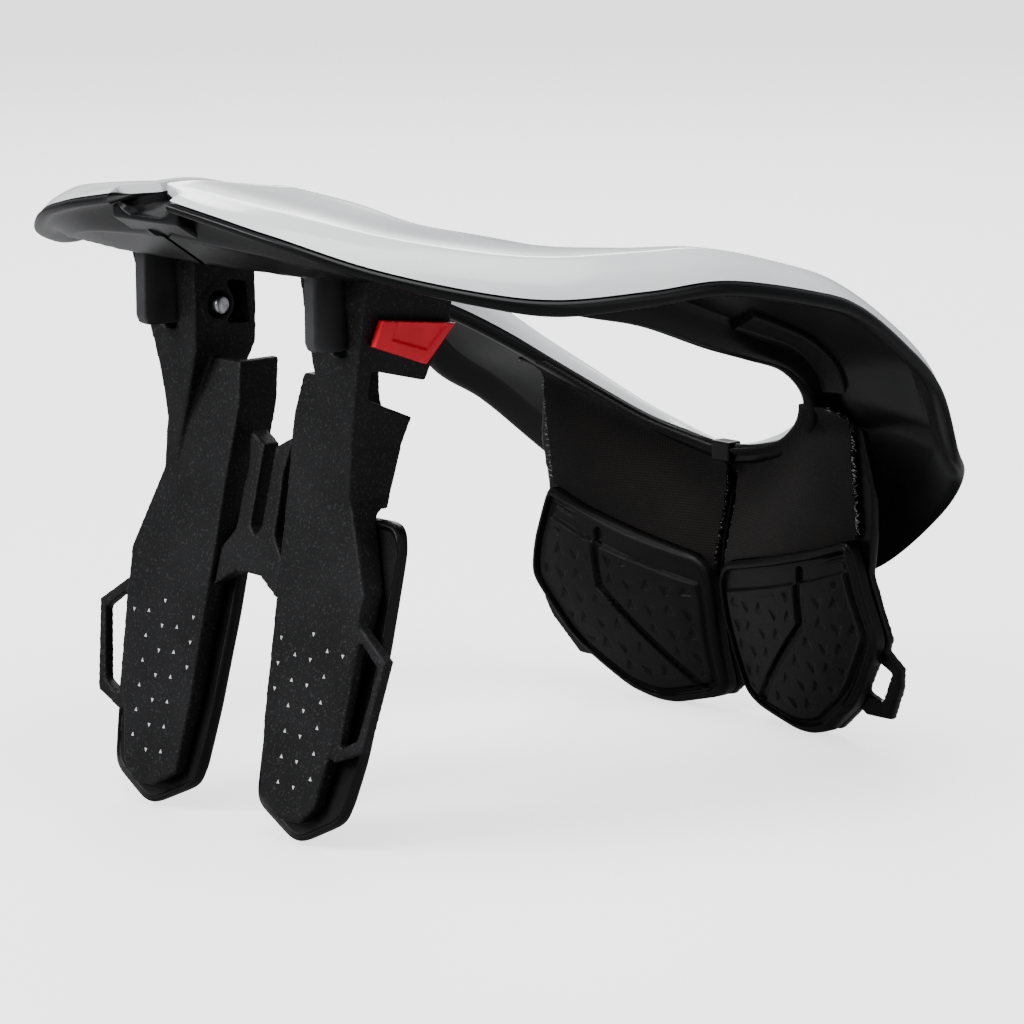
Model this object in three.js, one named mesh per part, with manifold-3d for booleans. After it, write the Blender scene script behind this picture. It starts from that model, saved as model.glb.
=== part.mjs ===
// Motocross neck brace, millimetres. The wearer faces +Y, their right side is +X and +Z is up.
// The brace stands on the tips of its two back wings and on its two chest pads, at z = 0.
import * as THREE from 'three';
import { mergeVertices } from 'three/addons/utils/BufferGeometryUtils.js';
import Module from 'manifold-3d';

const wasm = await Module();
wasm.setup();

// Driving sizes of the collar ring.
const halfWidth = 130; // middle to the outer rim at the shoulder
const rearReach = 150; // origin line to the outer rim behind the neck
const neckHalfWidth = 78; // middle to the inner rim at the shoulder
const neckReach = 88; // origin line to the inner rim, rear and front
const collarHeight = 190; // floor to the outer rim behind the neck
const crown = 12; // how high the shell arches over the line from rim to rim
const shellWall = 2.6;
const chassisWall = 3;
const rimDepth = 5; // rolled rim below the outer shell edge
const lipDepth = 12; // inner lip below the inner shell edge, at its deepest
const rimThickness = 4.2;
const bandInset = 9; // from the outer edge to the crease of the shell
const creaseStart = 0.35; // share of that band where the notch starts to close
const crestInset = 4;
const seam = 1.2; // half the joint between the two front ends
const fit = 0.3; // gap between pieces that touch
const stripRows = [7.4, 10.6]; // collar rows where the raised strip starts and ends
const stripInset = 6;
const stripWidth = 11;
const stripRise = 2.2;
const steps = 2; // loft sections for each row of the collar table

// Driving sizes of the rear.
const seatDrop = 22; // from the rear edge down to the flat underside that carries the wings
const seatZ = collarHeight - seatDrop;
const slopeDepth = 26; // length of the sloped underside between the rear edge and the seat
const slopeFootY = slopeDepth - rearReach;
const slopeHeight = 16; // how far that slope rises to the rear edge
const notchWidth = 28; // gap between the two rear ends, as far in as the crease of the shell
const saddleDrop = 1.5; // top of the saddle below the collar's rear edge
const saddleLip = 0.72; // share of the saddle's half width where its side lips start
const saddlePlate = 2.2;
const plateMargin = 4; // how far the plate reaches under each half
const screwRadius = 2.4;
const screwHead = 1.6;
const screwProud = 0.4;
const screwInset = 1.5; // from the side of the notch to a screw's axis
const screwSlot = 0.4; // half the width of its slot

// Driving sizes of a wing.
const wingMiddle = 34.5;
const wingHalfWidth = 20;
const wingLean = 0.193; // how far the face moves forward for each unit of height
const wingSetback = 22; // from the collar's rear edge to the wing's foot
const wingFootY = wingSetback - rearReach;
const wingWall = 3;
const wingDepth = 4; // from the wing's face to its pad, at the foot
const padFootY = wingFootY + wingDepth;
const padLean = 0.25;
const wingPadThickness = 4;
const loopThickness = 3.6;
const tongueWidth = 4.8;
const tongueX = 39;
const tongueInset = 30; // from the collar's rear edge
const tongueFront = tongueInset - rearReach;
const tongueDepth = 25;
const tongueBack = tongueFront + tongueDepth;
const tongueLength = 23; // below the seat
const tongueRoot = 9; // how far it runs up before the collar trims it
const tongueFoot = seatZ - tongueLength;
const slotWidth = 10;
const slotFoot = tongueFoot - 1.6;
const pinInset = 18.5; // from the tongue's front face
const pinY = tongueFront + pinInset;
const pinZ = tongueFoot + 6;
const pinRadius = 2.6;
const pinClearance = 0.4;
const notchReach = 27; // front opening in the neck's outer wall, measured from the pin
const notchDrop = 34;
const windowSize = 13; // window in the neck's inner wall, in front of the boss
const ribBelow = 9; // from the pin's axis down to the foot of the rib in front of the window
const bossRadius = 6.2;
const bossBore = 4;
const tabThickness = 2.6;
const tabReach = 16;
const tabRise = 11;
const tabField = 0.7; // depth of the plain recessed field
const linkThickness = 6;
const linkTop = 115;
const linkGap = 1; // between the link and the pads in front of it

// Driving sizes of the chest side.
const chestPadDepth = 6;
const chestPlateWall = 3;
const liningWall = 3;
const chestMiddleY = neckReach - 9.5;
const chestBow = 9;
const chestBowWidth = 60;
const chestLean = 0.1; // how far the pad's skin moves forward for each unit below its top
const chestSweep = 0.004; // and for the square of that height
const chestMiddleGap = 1.6; // from the middle to the edge of a chest plate
const chestLipY = neckReach - 2;
const chestLipBow = 21;
const chestPadTop = 52;
const chestPadRise = 17; // how much higher the pad's top is at its outer edge
const chestTopDrop = 5.4; // from the front inner rim down to the top of the chest plates
const chestTopRise = 26.5;
const chestWidth = 70;
const grooveWidth = 2.6;
const grooveDepth = 1.6;

// One row for each section of the collar's right half, from the rear notch to the front joint.
// Columns: outer rim x, y and z as shares of halfWidth, rearReach and collarHeight; inner rim x, y
// and z as shares of neckHalfWidth, neckReach and collarHeight; heights of the crease, the middle
// and the inner crest as shares of crown; rim and lip as shares of rimDepth and lipDepth; and how
// much of the hollow below the shell is closed at that section.
const collarRows = [
  [0.0, -1.0, 1.0, 0.0, -1.02, 0.953, 0.38, 0.5, 0.5, 0.55, 1.0, 1],
  [0.36, -0.96, 0.966, 0.31, -0.99, 0.932, 0.5, 0.58, 0.62, 0.55, 1.0, 1],
  [0.585, -0.86, 0.92, 0.525, -0.9, 0.9, 0.7, 0.75, 0.7, 0.65, 0.92, 0.8],
  [0.755, -0.72, 0.885, 0.69, -0.76, 0.88, 0.83, 0.88, 0.75, 0.75, 0.83, 0.25],
  [0.86, -0.595, 0.87, 0.81, -0.61, 0.86, 0.92, 0.96, 0.75, 0.9, 0.75, 0],
  [0.94, -0.425, 0.875, 0.9, -0.455, 0.837, 0.92, 1.0, 0.75, 0.8, 0.67, 0],
  [0.98, -0.255, 0.88, 0.96, -0.27, 0.805, 0.88, 1.0, 0.75, 0.8, 0.5, 0],
  [1.0, -0.035, 0.847, 1.0, -0.02, 0.755, 0.83, 0.92, 0.7, 0.8, 0.42, 0],
  [1.0, 0.085, 0.815, 1.0, 0.18, 0.724, 0.8, 0.88, 0.7, 0.8, 0.38, 0],
  [0.985, 0.22, 0.747, 0.96, 0.385, 0.695, 0.8, 0.83, 0.7, 0.8, 0.38, 0],
  [0.958, 0.345, 0.668, 0.87, 0.57, 0.647, 0.8, 0.83, 0.67, 0.8, 0.38, 0],
  [0.915, 0.435, 0.56, 0.745, 0.715, 0.595, 0.75, 0.8, 0.62, 0.8, 0.33, 0],
  [0.84, 0.52, 0.505, 0.59, 0.83, 0.547, 0.67, 0.75, 0.54, 0.8, 0.33, 0],
  [0.7, 0.58, 0.426, 0.4, 0.915, 0.505, 0.62, 0.67, 0.46, 0.8, 0.33, 0],
  [0.46, 0.64, 0.316, 0.205, 0.965, 0.482, 0.54, 0.62, 0.38, 0.8, 0.33, 0],
  [0.23, 0.675, 0.258, 0.09, 0.977, 0.473, 0.5, 0.58, 0.33, 0.8, 0.33, 0],
  [0.0, 0.687, 0.237, 0.0, 0.98, 0.468, 0.5, 0.58, 0.33, 0.8, 0.33, 0],
];

// Sections of a wing's face, from foot to tip. Columns: height and the inner and outer edge, as
// shares of wingTop and, from the middle of the wing, of wingHalfWidth.
const wingTop = seatZ - fit;
const faceRows = [
  [0.043, -0.25, 0.2],
  [0.075, -0.74, 0.5],
  [0.21, -0.87, 0.75],
  [0.365, -0.93, 0.92],
  [0.45, -0.97, 0.97],
  [0.572, -1.01, 0.54],
  [0.6, -1.02, 0.44],
  [0.73, -1.1, 0.08],
  [0.805, -1.0, -0.2],
];

// Sections of a wing's neck, from where it leaves the face to the collar. Columns: height, inner
// and outer edge as above, then the y of its rear face, outer wall end and inner wall end as
// shares of rearReach.
const neckRows = [
  [0.58, 0.2, 0.44, -0.727, -0.63, -0.645],
  [0.69, 0.0, 0.41, -0.718, -0.587, -0.61],
  [0.763, -0.2, 0.51, -0.72, -0.558, -0.59],
  [0.823, -0.38, 0.63, -0.725, -0.538, -0.57],
  [0.895, -0.45, 0.8, -0.732, -0.507, -0.575],
  [1.0, -0.525, 1.015, -0.742, -0.515, -0.587],
];

// Outlines as shares of the sizes that their function names.
const padOutline = [[0, 0], [0.92, 0.093], [1.1, 0.28], [1.18, 0.62], [1.14, 0.95], [1.0, 1.0],
  [-0.95, 1.0], [-1.15, 0.93], [-1.19, 0.62], [-1.14, 0.33], [-1.02, 0.095]];
const wingPadHeight = 95;
const wingLoop = [[0.8, 0.715], [1.02, 0.69], [1.6, 0.61], [1.36, 0.33], [0.78, 0.28], [0.6, 0.3]];
const wingLoopHole = [[0.98, 0.655], [1.44, 0.585], [1.21, 0.365], [0.86, 0.325]];
const notchOutline = [[-0.065, -0.344], [1, -0.556], [1, -0.94], [-0.065, -0.6]];
const windowOutline = [[0.3, 0.54], [0.85, 0.46], [1, -0.54], [0.38, -0.46]];
const linkOutline = [[0, 0.647], [0.4, 0.645], [0.8, 0.615], [1.0, 0.6], [0.96, 0.7],
  [0.62, 0.75], [0.6, 0.85], [0.56, 0.91], [0.68, 0.985], [0.62, 1.0], [0.17, 0.97],
  [0.17, 0.765], [0, 0.745]];
const chestPadOutline = [[0.03, 0.92], [0.1, 1.02], [0.47, 1.13], [0.76, 1.23], [0.98, 1.33],
  [1.04, 1.12], [1.1, 0.89], [1.13, 0.73], [0.96, 0.38], [0.87, 0.26], [0.64, 0.05], [0.5, 0.0],
  [0.4, 0.0], [0.13, 0.09], [0.06, 0.16], [0.045, 0.42], [0.025, 0.7]];
const chestLoop = [[1.0, 0.8], [1.17, 0.56], [1.14, 0.43], [1.02, 0.2], [0.86, 0.2], [0.8, 0.4]];
const chestLoopHole = [[1.03, 0.58], [1.105, 0.52], [0.995, 0.31], [0.91, 0.36]];
const tabOutline = [[-0.72, 0.36], [1.06, 0.02], [0.53, -1.04], [-0.82, -0.36]];

const [frontRimY, frontRimZ] = [collarRows[collarRows.length - 1][4] * neckReach,
  collarRows[collarRows.length - 1][5] * collarHeight];
const chestTop = frontRimZ - chestTopDrop;

const between = (a, b, share) => a + (b - a) * share;
const clamp = (value, low, high) => Math.min(high, Math.max(low, value));

// Puts a closed mesh into a buffer geometry, with its faces pointing out.
function closedMesh(points, triangles) {
  let volume = 0;
  const cross = new THREE.Vector3();
  for (const [a, b, c] of triangles) {
    volume += cross.crossVectors(points[a], points[b]).dot(points[c]);
  }
  const order = volume > 0 ? triangles : triangles.map(([a, b, c]) => [a, c, b]);
  const geometry = new THREE.BufferGeometry();
  geometry.setAttribute('position', new THREE.Float32BufferAttribute(
    points.flatMap((p) => [p.x, p.y, p.z]), 3));
  geometry.setIndex(order.flat());
  return geometry;
}

// Turns a geometry into a solid that can be joined and cut.
function solid(geometry) {
  const bare = geometry.clone();
  bare.deleteAttribute('normal');
  bare.deleteAttribute('uv');
  const merged = mergeVertices(bare, 1e-4);
  return new wasm.Manifold(new wasm.Mesh({
    numProp: 3,
    vertProperties: new Float32Array(merged.attributes.position.array),
    triVerts: new Uint32Array(merged.index.array),
  }));
}

function geometryOf(body) {
  const mesh = body.getMesh();
  const geometry = new THREE.BufferGeometry();
  geometry.setAttribute('position', new THREE.BufferAttribute(mesh.vertProperties, 3));
  geometry.setIndex(new THREE.BufferAttribute(mesh.triVerts, 1));
  return geometry;
}

// Keeps the largest body of a cut piece.
function largest(body) {
  const parts = body.decompose();
  parts.sort((a, b) => b.volume() - a.volume());
  return parts[0];
}

// Triangles that fill an outline with holes, all turning the way that x turns to y.
function fill(contour, holes) {
  const flat = [contour, ...holes].flat();
  return THREE.ShapeUtils.triangulateShape(contour, holes).map(([a, b, c]) => {
    const [p, q, r] = [flat[a], flat[b], flat[c]];
    const turn = (q.x - p.x) * (r.y - p.y) - (q.y - p.y) * (r.x - p.x);
    return turn > 0 ? [a, b, c] : [a, c, b];
  });
}

// Skins closed sections of equal length; each section is a flat outline in its own plane, and
// flatEnds gives the first and the last one in that plane.
function loft(sections, flatEnds) {
  const count = sections[0].length;
  const points = sections.flat();
  const triangles = [];
  for (let s = 0; s + 1 < sections.length; s++) {
    for (let i = 0; i < count; i++) {
      const a = s * count + i;
      const b = s * count + ((i + 1) % count);
      triangles.push([a, b, b + count], [a, b + count, a + count]);
    }
  }
  const last = (sections.length - 1) * count;
  flatEnds.forEach((end, k) => {
    const outline = end.map(([u, v]) => new THREE.Vector2(u, v));
    const turnsBack = THREE.ShapeUtils.isClockWise(outline) !== (k === 0);
    for (const [a, b, c] of fill(outline, [])) {
      const face = turnsBack ? [a, c, b] : [a, b, c];
      triangles.push(face.map((i) => i + k * last));
    }
  });
  return closedMesh(points, triangles);
}

// A plate between two faces of one outline, with holes; place(a, b, t) gives the point of the
// outline's (a, b) on the near face (t = 0) or the far face (t = 1).
function plate(outline, holes, place) {
  const toVector = ([a, b]) => new THREE.Vector2(a, b);
  const contour = outline.map(toVector);
  if (THREE.ShapeUtils.isClockWise(contour)) contour.reverse();
  const inner = holes.map((hole) => {
    const ring = hole.map(toVector);
    return THREE.ShapeUtils.isClockWise(ring) ? ring : ring.reverse();
  });
  const rings = [contour, ...inner];
  const flat = rings.flat();
  const faces = fill(contour, inner);
  const points = [0, 1].flatMap((t) => flat.map((p) => place(p.x, p.y, t)));
  const triangles = faces.flatMap(([a, b, c]) => [[a, c, b],
    [flat.length + a, flat.length + b, flat.length + c]]);
  let start = 0;
  for (const ring of rings) {
    for (let i = 0; i < ring.length; i++) {
      const a = start + i;
      const b = start + ((i + 1) % ring.length);
      triangles.push([a, b, flat.length + b], [a, flat.length + b, flat.length + a]);
    }
    start += ring.length;
  }
  return closedMesh(points, triangles);
}

// A curved sheet over a grid of (a, b); surface(a, b) gives y and the sheet reaches wall further.
function curvedSheet(aEnds, bEnds, cells, surface, wall) {
  const [across, up] = cells;
  const points = [];
  for (const t of [0, 1]) {
    for (let j = 0; j <= up; j++) {
      for (let i = 0; i <= across; i++) {
        const a = between(aEnds[0], aEnds[1], i / across);
        const b = between(bEnds[0], bEnds[1], j / up);
        points.push(new THREE.Vector3(a, surface(a, b) + t * wall, b));
      }
    }
  }
  const layer = (across + 1) * (up + 1);
  const at = (i, j, t) => t * layer + j * (across + 1) + i;
  const triangles = [];
  const quad = (a, b, c, d) => triangles.push([a, b, c], [a, c, d]);
  for (let j = 0; j < up; j++) {
    for (let i = 0; i < across; i++) {
      quad(at(i, j, 0), at(i + 1, j, 0), at(i + 1, j + 1, 0), at(i, j + 1, 0));
      quad(at(i, j, 1), at(i, j + 1, 1), at(i + 1, j + 1, 1), at(i + 1, j, 1));
    }
  }
  for (let i = 0; i < across; i++) {
    quad(at(i, 0, 0), at(i, 0, 1), at(i + 1, 0, 1), at(i + 1, 0, 0));
    quad(at(i, up, 0), at(i + 1, up, 0), at(i + 1, up, 1), at(i, up, 1));
  }
  for (let j = 0; j < up; j++) {
    quad(at(0, j, 0), at(0, j + 1, 0), at(0, j + 1, 1), at(0, j, 1));
    quad(at(across, j, 0), at(across, j, 1), at(across, j + 1, 1), at(across, j + 1, 0));
  }
  return closedMesh(points, triangles);
}

function box(x, y, z) {
  const geometry = new THREE.BoxGeometry(x[1] - x[0], y[1] - y[0], z[1] - z[0]);
  geometry.translate((x[0] + x[1]) / 2, (y[0] + y[1]) / 2, (z[0] + z[1]) / 2);
  return solid(geometry);
}

function rodAlongX(radius, x0, x1, y, z, sides) {
  const geometry = new THREE.CylinderGeometry(radius, radius, x1 - x0, sides);
  geometry.rotateZ(Math.PI / 2);
  geometry.translate((x0 + x1) / 2, y, z);
  return solid(geometry);
}

// The collar row at a whole or part step, smoothed through its neighbours.
function collarAt(position) {
  const index = Math.min(Math.floor(position), collarRows.length - 2);
  const t = position - index;
  const rows = [-1, 0, 1, 2].map((k) => collarRows[clamp(index + k, 0, collarRows.length - 1)]);
  const row = rows[1].map((value, c) => {
    const [p, q, r, s] = rows.map((each) => each[c]);
    return 0.5 * (2 * q + (r - p) * t + (2 * p - 5 * q + 4 * r - s) * t * t
      + (3 * q - p - 3 * r + s) * t * t * t);
  });
  return {
    outer: new THREE.Vector3(Math.max(row[0] * halfWidth, seam), row[1] * rearReach,
      row[2] * collarHeight),
    inner: new THREE.Vector3(Math.max(row[3] * neckHalfWidth, seam), row[4] * neckReach,
      row[5] * collarHeight),
    crease: row[6] * crown,
    middle: row[7] * crown,
    crest: row[8] * crown,
    rim: row[9] * rimDepth,
    lip: row[10] * lipDepth,
    closed: clamp(row[11], 0, 1),
  };
}

// The section's own axes: across from the inner to the outer rim, and up from that line.
function collarFrame(station) {
  const across = station.outer.clone().sub(station.inner);
  const width = across.length();
  across.normalize();
  const along = new THREE.Vector3(across.y, -across.x, 0).normalize();
  const up = new THREE.Vector3().crossVectors(along, across).normalize();
  if (up.z < 0) up.negate();
  return { across, up, width };
}

// The shell's outer surface in its section, from the outer to the inner edge.
function shellLine(station, width) {
  return [
    [width, 0],
    [width - creaseStart * bandInset, station.crease * 0.5],
    [width - bandInset, station.crease],
    [width * 0.68, between(station.crease, station.middle, 0.7) + 0.4],
    [width * 0.42, station.middle],
    [width * 0.2, between(station.crest, station.middle, 0.5)],
    [crestInset, station.crest],
    [crestInset * 0.25, station.crest * 0.62],
    [0, 0],
  ];
}

// Moves an open line to its inner side by a distance, with mitred corners.
function inset(line, distance) {
  const normals = line.slice(1).map(([x, y], i) => {
    const dx = x - line[i][0];
    const dy = y - line[i][1];
    const length = Math.hypot(dx, dy);
    return [-dy / length, dx / length];
  });
  return line.map(([x, y], i) => {
    const a = normals[Math.max(i - 1, 0)];
    const b = normals[Math.min(i, normals.length - 1)];
    const share = distance / Math.max(1 + a[0] * b[0] + a[1] * b[1], 0.6);
    return [x + (a[0] + b[0]) * share, y + (a[1] + b[1]) * share];
  });
}

// Runs the two end stretches of a line on, or back, to one height.
function levelEnds(line, height) {
  const meet = ([p, g], [q, h]) => [p + ((q - p) * (height - g)) / (h - g), height];
  const last = line.length - 1;
  return [meet(line[0], line[1]), ...line.slice(1, last), meet(line[last], line[last - 1])];
}

// How far a collar half stands back from the middle at the rear notch.
function notchAt(y) {
  const share = (bandInset - rearReach - y) / (bandInset * (1 - creaseStart));
  return (notchWidth / 2 - seam) * clamp(share, 0, 1);
}

const notchFade = collarRows[1][0] * halfWidth;

const collarPositions = Array.from({ length: (collarRows.length - 1) * steps + 1 }, (_, i) => i / steps);

function collarLoft(positions, sectionOf) {
  const flats = [];
  const sections = positions.map((position) => {
    const station = collarAt(position);
    const frame = collarFrame(station);
    const flat = sectionOf(station, frame);
    flats.push(flat);
    return flat.map(([p, h]) => {
      const point = station.inner.clone().addScaledVector(frame.across, p)
        .addScaledVector(frame.up, h);
      point.x += notchAt(point.y) * clamp(1 - point.x / notchFade, 0, 1);
      return point;
    });
  });
  return loft(sections, [flats[0], flats[flats.length - 1]]);
}

function shellSection(station, { width }) {
  const line = shellLine(station, width);
  return [...line, ...levelEnds(inset(line, shellWall), 0).reverse()];
}

// The height of the rear underside: a flat seat, and a slope up to the rear edge.
function rearFloor(y) {
  return seatZ + slopeHeight * clamp((slopeFootY - y) / (rearReach + slopeFootY), 0, 1);
}

// The chassis lies under the shell, with a rolled rim outside and a rolled lip inside. Where it
// is closed, its underside drops to the flat seat of the wings. Its cover is the shell's wall and
// the gap under it, or nothing for the outer form of both.
function chassisSection(station, { width, across, up }, cover = shellWall + fit) {
  const line = shellLine(station, width);
  const edge = fit + 0.2;
  const top = levelEnds(inset(line, cover), -edge);
  const under = inset(line, shellWall + fit + chassisWall);
  const seatAt = (p) => {
    const floor = rearFloor(station.inner.y + p * across.y);
    return (floor - station.inner.z - p * across.z) / up.z;
  };
  const lowered = under.map(([p, h], i) => {
    if (i < 2 || i > 6) return [p, h];
    return [p, between(h, Math.min(seatAt(p), h), station.closed)];
  });
  const rim = [[width + 0.3, -edge], [width + 1.2, -edge - 0.3 * station.rim],
    [width + 0.8, -edge - 0.85 * station.rim], [width - 1.2, -edge - station.rim],
    [width - rimThickness, -edge - 0.7 * station.rim]];
  const lip = [[rimThickness, -edge - 0.8 * station.lip], [1.2, -edge - station.lip],
    [-0.8, -edge - 0.85 * station.lip], [-1.2, -edge - 0.3 * station.lip], [-0.3, -edge]];
  return [top[0], ...rim, ...lowered.slice(1, -1), ...lip, ...top.slice(1).reverse()];
}

// The height of an open section line at a distance from the inner rim.
function heightOn(line, distance) {
  for (let i = 0; i + 1 < line.length; i++) {
    const [[p, g], [q, h]] = [line[i], line[i + 1]];
    if (distance <= p && distance >= q) return between(g, h, (p - distance) / (p - q));
  }
  return line[line.length - 1][1];
}

// A raised strip moulded under the shoulder, along the inner lip, sunk into the chassis wall.
function shoulderStrip() {
  const positions = Array.from({ length: 7 }, (_, i) => between(stripRows[0], stripRows[1], i / 6));
  return collarLoft(positions, (station, { width }) => {
    const line = shellLine(station, width);
    const core = inset(line, shellWall + fit + chassisWall / 2);
    const under = inset(line, shellWall + fit + chassisWall);
    const across = [0, 0.5, 1].map((share) => between(stripInset, stripInset + stripWidth, share));
    return [...across.map((p) => [p, heightOn(under, p) - stripRise]),
      ...across.reverse().map((p) => [p, heightOn(core, p)])];
  });
}

// The saddle fills the rear notch with a scooped face, and its plate reaches under both halves.
const saddleBack = saddleDrop - rearReach;
const saddleEnd = bandInset + 1 - rearReach;

function crossLoft(places, sectionOf) {
  const flats = places.map(sectionOf);
  const sections = flats.map((flat, i) => flat.map(([x, z]) => new THREE.Vector3(x, places[i], z)));
  return solid(loft(sections, [flats[0], flats[flats.length - 1]]));
}

function saddleBlock() {
  const top = collarHeight - saddleDrop;
  const half = notchWidth / 2 + seam;
  const places = [0, 0.2, 0.6, 1].map((share) => between(saddleBack, saddleEnd, share));
  return crossLoft(places, (y) => {
    const floor = rearFloor(y);
    const share = clamp((y - saddleBack) / (bandInset - saddleDrop - fit), 0, 1);
    const scoop = between(floor + saddlePlate * 0.4, top, share);
    const bed = saddleLip * half * (1 - 0.25 * share);
    return [[-half, floor - fit], [half, floor - fit], [half, top], [saddleLip * half * 1.1, top],
      [bed, between(scoop, top, 0.4)], [bed * 0.6, scoop], [-bed * 0.6, scoop],
      [-bed, between(scoop, top, 0.4)], [-saddleLip * half * 1.1, top], [-half, top]];
  });
}

function saddleUnderplate(growth, depth = saddlePlate) {
  const start = saddleBack + saddlePlate;
  const end = slopeFootY + plateMargin;
  return crossLoft([start - growth, slopeFootY, end + growth], (y) => {
    const half = (notchWidth / 2 + plateMargin * clamp((y - start) / (slopeFootY - start), 0.3, 1)) + growth;
    const high = rearFloor(y) + saddlePlate + growth;
    const low = high - depth - 2 * growth;
    return [[-half, low], [half, low], [half, high], [-half, high]];
  });
}

// Each screw's side, and its place along the slope as a share of slopeDepth.
const screwPlaces = [[-1, 0.58], [1, 0.58], [-1, 0.92], [1, 0.92]];
const screwSlope = Math.atan(slopeHeight / slopeDepth);

// Turns a form made around a screw's axis, and gives the place of that axis in the plate's face,
// or a depth inside it.
function onSlope(geometry, [side, share], depth) {
  geometry.rotateX(Math.PI / 2 - screwSlope);
  const y = -rearReach + share * slopeDepth;
  return { geometry, place: [side * (notchWidth / 2 - screwInset), y + depth * Math.sin(screwSlope),
    rearFloor(y) + depth * Math.cos(screwSlope)] };
}

function saddleScrew(entry) {
  const head = solid(new THREE.CylinderGeometry(screwRadius, screwRadius, screwHead, 12));
  const slot = box([-screwRadius * 1.2, screwRadius * 1.2], [-screwHead, 0], [-screwSlot, screwSlot]);
  return onSlope(geometryOf(head.subtract(slot)), entry, screwHead / 2 - screwProud);
}

function screwPocket(entry) {
  const depth = screwHead - screwProud + fit;
  const radius = screwRadius + fit;
  const { geometry, place } = onSlope(new THREE.CylinderGeometry(radius, radius, 2 * depth, 10), entry, 0);
  geometry.translate(...place);
  return solid(geometry);
}

const faceY = (z) => wingFootY + wingLean * z;
const padY = (z) => padFootY + padLean * z;

// A channel with its open side forward: rear wall, inner wall and outer wall.
function channelSection(z, inner, outer, rear, innerEnd, outerEnd) {
  const wall = Math.min(wingWall, (outer - inner) / 2.4);
  return [[inner, innerEnd], [inner, rear], [outer, rear], [outer, outerEnd], [outer - wall, outerEnd],
    [outer - wall, rear + wingWall], [inner + wall, rear + wingWall], [inner + wall, innerEnd]]
    .map(([x, y]) => [x, y, z]);
}

function channelLoft(sections) {
  const flat = (section) => section.map(([x, y]) => [x, y]);
  return solid(loft(sections.map((section) => section.map(([x, y, z]) => new THREE.Vector3(x, y, z))),
    [flat(sections[0]), flat(sections[sections.length - 1])]));
}

function neckEdgeX(share) {
  return wingMiddle + share * wingHalfWidth;
}

// The x of the neck's outer wall at a height.
function outerWallX(z) {
  const rows = neckRows.map((row) => [row[0] * wingTop, neckEdgeX(row[2])]);
  for (let i = 0; i + 1 < rows.length; i++) {
    if (z <= rows[i + 1][0]) {
      return between(rows[i][1], rows[i + 1][1], (z - rows[i][0]) / (rows[i + 1][0] - rows[i][0]));
    }
  }
  return rows[rows.length - 1][1];
}

function wingBody() {
  const face = channelLoft(faceRows.map(([height, inner, outer]) => {
    const z = height * wingTop;
    const end = z < wingPadHeight + 1 ? padY(z) - fit : faceY(z) + wingHalfWidth * 0.75;
    return channelSection(z, neckEdgeX(inner), neckEdgeX(outer), faceY(z), end, end);
  }));
  const neck = channelLoft(neckRows.map(([height, inner, outer, rear, outerEnd, innerEnd]) =>
    channelSection(height * wingTop, neckEdgeX(inner), neckEdgeX(outer), rear * rearReach,
      innerEnd * rearReach, outerEnd * rearReach)));
  const onFace = (a, b, t) => {
    const z = b * wingPadHeight;
    return new THREE.Vector3(neckEdgeX(a), faceY(z) + 0.6 + t * loopThickness, z);
  };
  const loop = solid(plate(wingLoop, [wingLoopHole], onFace));
  const boss = rodAlongX(bossRadius, neckEdgeX(-0.5), tongueX - tongueWidth / 2 - fit, pinY, pinZ, 20);
  const ribY = pinY + windowSize + wingWall / 2;
  const rib = box([neckEdgeX(-0.42), outerWallX(pinZ - ribBelow)], [ribY - wingWall, ribY],
    [pinZ - ribBelow, wingTop]);
  const slot = box([tongueX - slotWidth / 2, tongueX + slotWidth / 2], [-rearReach, pinY - bossRadius - 1],
    [slotFoot, seatZ + 1]);
  const sideCut = (outline, reach, drop, x0, x1) => solid(plate(outline, [], (y, z, t) =>
    new THREE.Vector3(between(x0, x1, t), pinY + y * reach, pinZ + z * drop)));
  const notch = sideCut(notchOutline, notchReach, notchDrop, neckEdgeX(0.1), neckEdgeX(1.6));
  const window = sideCut(windowOutline, windowSize, windowSize, neckEdgeX(-1.2), neckEdgeX(-0.2));
  const bore = rodAlongX(bossBore, neckEdgeX(-1), neckEdgeX(0) - 1, pinY, pinZ, 20);
  const pinHole = rodAlongX(pinRadius + pinClearance, neckEdgeX(-1), neckEdgeX(1.4), pinY, pinZ, 16);
  const channelClear = box([tongueX - tongueWidth / 2 - fit, tongueX + tongueWidth / 2 + fit],
    [-rearReach, 0], [slotFoot, seatZ + 1]);
  const top = box([-halfWidth, halfWidth], [-rearReach, 0], [wingTop, seatZ + 30]);
  return largest(face.add(neck).add(loop).add(rib).subtract(window).add(boss).subtract(slot).subtract(notch)
    .subtract(bore).subtract(pinHole).subtract(channelClear).subtract(top));
}

function wingPad() {
  return solid(plate(padOutline, [], (a, b, t) => {
    const z = b * wingPadHeight;
    return new THREE.Vector3(neckEdgeX(a), padY(z) + t * wingPadThickness, z);
  }));
}

function wingTongue() {
  const y = [tongueFront, tongueBack];
  const outline = [[y[0], seatZ + tongueRoot], [y[0], tongueFoot + 3], [y[0] + 1, tongueFoot + 0.8],
    [y[0] + 3, tongueFoot], [y[1] - 3, tongueFoot], [y[1], tongueFoot + 3], [y[1], seatZ + tongueRoot]];
  const bar = solid(plate(outline, [], (a, b, t) =>
    new THREE.Vector3(tongueX + (t - 0.5) * tongueWidth, a, b)));
  return bar.subtract(rodAlongX(pinRadius + pinClearance, tongueX - tongueWidth, tongueX + tongueWidth,
    pinY, pinZ, 16));
}

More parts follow.
